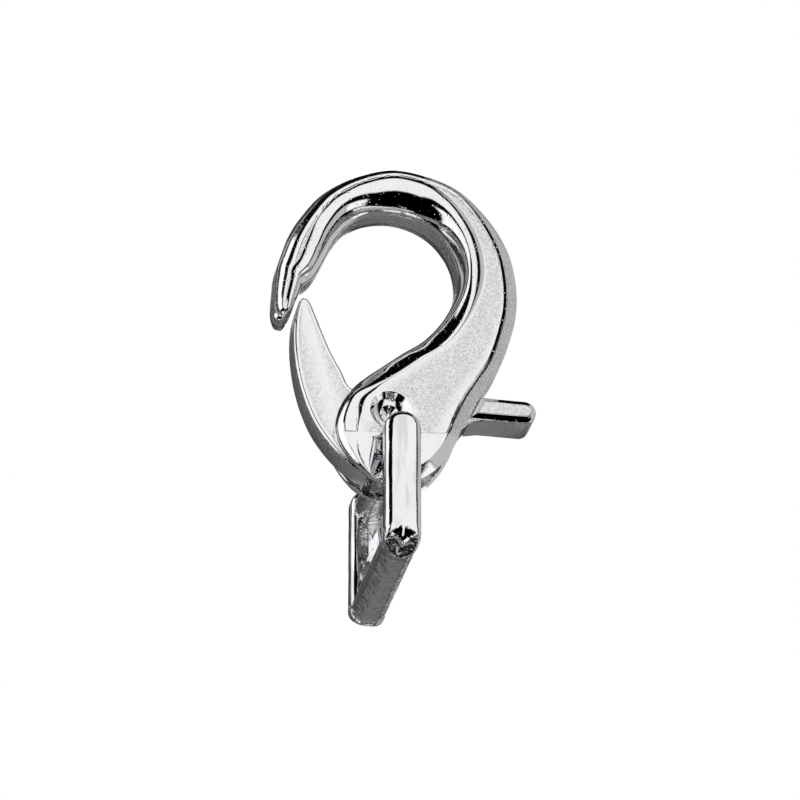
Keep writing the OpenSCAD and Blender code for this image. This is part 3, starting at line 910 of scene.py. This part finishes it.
# %% Set the arm twice round the middle line
middle = spot(given["Middle X"], given["Middle Y"])
back = add("ShaderNodeVectorMath", {0: middle, "Scale": -1.0}, operation="SCALE")
centred_arm = add("GeometryNodeTransform", {"Geometry": given["Arm"], "Translation": back})
points = add("GeometryNodeMeshLine", {"Count": 2, "Start Location": middle, "Offset": (0, 0, 0)})
turns = spot(z=calc("MULTIPLY", add("GeometryNodeInputIndex", {}), math.pi))
arms = add("GeometryNodeInstanceOnPoints", {
    "Points": points, "Instance": centred_arm, "Rotation": turns})
arms = add("GeometryNodeRealizeInstances", {"Geometry": arms})
print("the tree has", len(loop_tree.nodes), "nodes so far")

# %% [markdown]
# Both bars are swept along a straight line from arm to arm. The round one flares at its roots, as a cast
# corner does. The strap bar has eight flats whose corners are rounded.

# %% Sweep the two bars and unite the frame
FLARE_LENGTH = 0.7


def swept_bar(z, profile, flare):
    """A bar from arm to arm at the height z. Its roots are wider by the share given as flare."""
    half = calc("DIVIDE", given["Bar Length"], 2.0)
    ends = [spot(given["Middle X"], calc(side, given["Middle Y"], half), z) for side in ("SUBTRACT", "ADD")]
    line = add("GeometryNodeCurvePrimitiveLine", {"Start": ends[0], "End": ends[1]})
    line = add("GeometryNodeResampleCurve", {"Curve": line, "Count": 121})
    from_middle = calc("ABSOLUTE", calc("SUBTRACT", add("GeometryNodeSplineParameter", {}), 0.5), 0.0)
    from_end = calc("SUBTRACT", half, calc("MULTIPLY", from_middle, given["Bar Length"]))
    root = BAR_SINK * MM
    near_root = add("ShaderNodeMapRange", {
        "Value": from_end, "From Min": root, "From Max": root + FLARE_LENGTH * MM,
        "To Min": 1.0, "To Max": 0.0}, interpolation_type="SMOOTHSTEP")
    radius = calc("ADD", calc("MULTIPLY", near_root, flare), 1.0)
    line = add("GeometryNodeSetCurveRadius", {"Curve": line, "Radius": radius})
    return add("GeometryNodeCurveToMesh", {"Curve": line, "Profile Curve": profile, "Fill Caps": True})


flare_share = calc("DIVIDE", given["Root Flare"], given["Round Bar Radius"])
circle = add("GeometryNodeCurvePrimitiveCircle", {"Resolution": 64, "Radius": given["Round Bar Radius"]})
round_bar = swept_bar(given["Round Bar Z"], circle, flare_share)
octagon = add("GeometryNodeCurvePrimitiveCircle", {"Resolution": 8, "Radius": given["Strap Bar Radius"]})
octagon = add("GeometryNodeTransform", {"Geometry": octagon, "Rotation": (0, 0, math.pi / 8)})
corner = {"Curve": octagon, "Radius": given["Strap Bar Corner"], "Count": 5}
octagon = add("GeometryNodeFilletCurve", corner, mode="POLY")
strap_bar = swept_bar(calc("SUBTRACT", given["Round Bar Z"], given["Drop"]), octagon, 0.0)
united = add("GeometryNodeMeshBoolean", {"Mesh 2": [arms, round_bar, strap_bar]},
             operation="UNION", solver="EXACT")
realized = add("GeometryNodeRealizeInstances", {"Geometry": united})
finished = add("GeometryNodeSetMaterial", {"Geometry": realized, "Material": FINISHES["strap_loop"]})
loop_tree.links.new(finished, loop_tree.nodes.new("NodeGroupOutput").inputs["Loop"])
print("the tree has", len(loop_tree.nodes), "nodes")

# %% [markdown]
# The modifier hands the sizes to the tree, and its result becomes the plain mesh. Between the arms no
# wheel reaches, so those walls are matt, and the feet are a little sandy there.

# %% Run the tree and finish the loop
frame_modifier = strap_loop.modifiers.new("frame", "NODES")
frame_modifier.node_group = loop_tree
for item in loop_tree.interface.items_tree:
    if item.name in LOOP_SIZES:
        frame_modifier[item.identifier] = LOOP_SIZES[item.name] * MM
apply_modifiers(strap_loop)
tidy_mesh(strap_loop)
FOOT_SAND, FOOT_HEIGHT, WALL_DEPTH = 0.25, 2.2, 0.4


def sand_on_loop(x, y, z):
    """The feet and the strap bar are a little sandy between the arms."""
    return FOOT_SAND if z < foot_z + FOOT_HEIGHT and NEAR_Y < y < NEAR_Y + STRAP_W else 0.0


def matt_on_loop(x, y, z):
    """No wheel reaches between the arms, nor the underside of their feet below the dark star."""
    between_arms = NEAR_Y + WALL_DEPTH < y < NEAR_Y + STRAP_W - WALL_DEPTH
    return 0.5 if between_arms else 1.0 if z < STAR_LOW + STAR_SIDE * abs(x - BAR[0]) else 0.0


finish_piece(strap_loop, "strap_loop", "loop", "loop_metal", sand=sand_on_loop, matt=matt_on_loop)
report(strap_loop)

# %% [markdown]
# ## The pivot pin
#
# The pin is a short turned piece. The staking punch presses a cone into each end, and this cone goes on
# from the one in the cheek, so from the front the two look like one deep dimple.

# %% Build the pivot pin
end_profile = [(share * PIN_R, PIN_END - (1 - share) * STAKE_RISE * PIN_R)
               for share in (0, 0.3, 0.6, 0.985)]
end_profile.append((PIN_R, PIN_END - 0.05))
pivot_pin = turned("pivot_pin_turned", PIVOT, [(r, -y) for r, y in end_profile] + end_profile[::-1], 64)
tidy_mesh(pivot_pin)
nowhere = dict.fromkeys(("sand", "matt"), lambda x, y, z: 0.0)
finish_piece(pivot_pin, "pivot_pin", "body", "pin_metal", **nowhere)
report(pivot_pin)

# %% [markdown]
# ## The floor and the studio
#
# Plating has hardly a colour of its own, so the studio makes the picture. Bright soft boxes stand in a
# ring, with dark gaps above and between them: the gaps give the black bands, the boxes give the white
# ones. Only mirrored rays see the boxes. All other rays see a plain pale room, so the floor is lit
# evenly. The floor itself isn't mirrored, because the boxes below the clasp stand in for it.

# %% Make the floor
FLOOR_Z = -0.30
FLOOR_HALF = 3.0
corners = [(x, y, FLOOR_Z) for x, y in ((-FLOOR_HALF, -FLOOR_HALF), (FLOOR_HALF, -FLOOR_HALF),
                                        (FLOOR_HALF, FLOOR_HALF), (-FLOOR_HALF, FLOOR_HALF))]
floor = new_piece("floor", corners, [(0, 1, 2, 3)])
floor_finish = bpy.data.materials.new("floor_finish")
floor_finish.use_nodes = True
floor_shader = floor_finish.node_tree.nodes["Principled BSDF"]
floor_shader.inputs["Base Color"].default_value = (0.9, 0.9, 0.9, 1)
floor_shader.inputs["Roughness"].default_value = 0.8
floor.data.materials.append(floor_finish)
floor.visible_glossy = False
print("the floor lies", round(-FLOOR_Z, 2), "m below the crown")

# %% [markdown]
# One soft box is a rectangle in the sky, given by its azimuth, which is 0 in front of the clasp and 90 at
# the right, its elevation, its width and its height, all in degrees. The group works out how far a
# direction lies inside that rectangle.

# %% Build the soft box group
world = bpy.data.worlds.new("studio")
bpy.context.scene.world = world
world.use_nodes = True
sky = world.node_tree
soft_box, box_given, box_result = new_group("soft_box", [
    ("Azimuth", 0.0), ("Width", 60.0), ("Elevation", 20.0), ("Height", 60.0), ("Softness", 4.0),
    ("Light", 1.0)], ["Light"])
given_box = box_given.outputs


def box_math(operation, *values):
    """The result of a Math node in the soft box group."""
    return math_node(soft_box, operation, *values)


def inside(angle, centre, size):
    """1 within half the size of the centre, and 0 past a soft edge."""
    away = box_math("SUBTRACT", box_math("DEGREES", angle), centre)
    away = box_math("ABSOLUTE", box_math("WRAP", away, 180.0, -180.0))
    past_edge = box_math("SUBTRACT", away, box_math("MULTIPLY", size, 0.5))
    return ramp_between(soft_box, box_math("DIVIDE", past_edge, given_box["Softness"]), 0.5, -0.5)


direction = add_node(soft_box, "ShaderNodeTexCoord", {}).outputs["Generated"]
x, y, z = add_node(soft_box, "ShaderNodeSeparateXYZ", {0: direction}).outputs
azimuth = box_math("ARCTAN2", x, box_math("MULTIPLY", y, -1.0))
lit = box_math("MULTIPLY", inside(azimuth, given_box["Azimuth"], given_box["Width"]),
               inside(box_math("ARCSINE", z), given_box["Elevation"], given_box["Height"]))
soft_box.links.new(box_math("MULTIPLY", lit, given_box["Light"]), box_result.inputs[0])
print("the soft box group has", len(soft_box.nodes), "nodes")

# %% [markdown]
# The boxes are placed by what each part of the clasp mirrors. The flat faces mirror the box in front. The
# crown's rib fades from it into the dark ceiling above and the dark floor below. The walls mirror the
# back of the room, where a narrow window gives the fine white lines along the edges. The low box at the
# right stops short of the front, so that the toes of the loop's arms mirror darkness on both sides.

# %% Place the soft boxes
# name, azimuth, width, elevation, height, softness, light
BOXES = [
    ("front", 11, 52, 10, 82, 8, 1.08),
    ("low left", -75, 70, -5, 52, 8, 1.15),
    ("low right", 95, 64, -28, 24, 8, 1.15),
    ("left", -90, 50, 12, 76, 8, 1.3),
    ("right", 100, 80, 22, 76, 8, 0.6),
    ("rear left", -136, 10, 25, 70, 5, 0.5),
    ("back window", 168.6, 24, 38, 48, 6, 1.5),
    ("floor behind", 180, 112, -30, 48, 14, 0.2),
    ("floor strip", 180, 120, -70, 26, 6, 1.1),
    ("back wall", 180, 120, 20, 90, 24, 0.06),
]
light = None
for name, *values in BOXES:
    box = add_node(sky, "ShaderNodeGroup", dict(enumerate(values)), node_tree=soft_box, label=name)
    light = box.outputs[0] if light is None else math_node(sky, "MAXIMUM", light, box.outputs[0])
PALE_ROOM = 1.0
mirrored = add_node(sky, "ShaderNodeLightPath", {}).outputs["Is Glossy Ray"]
strength = math_node(sky, "MULTIPLY_ADD", mirrored, math_node(sky, "SUBTRACT", light, PALE_ROOM), PALE_ROOM)
sky.nodes["Background"].inputs["Color"].default_value = (1, 1, 1, 1)
sky.links.new(strength, sky.nodes["Background"].inputs["Strength"])
bpy.context.scene.view_settings.view_transform = "Standard"
print(len(BOXES), "soft boxes")
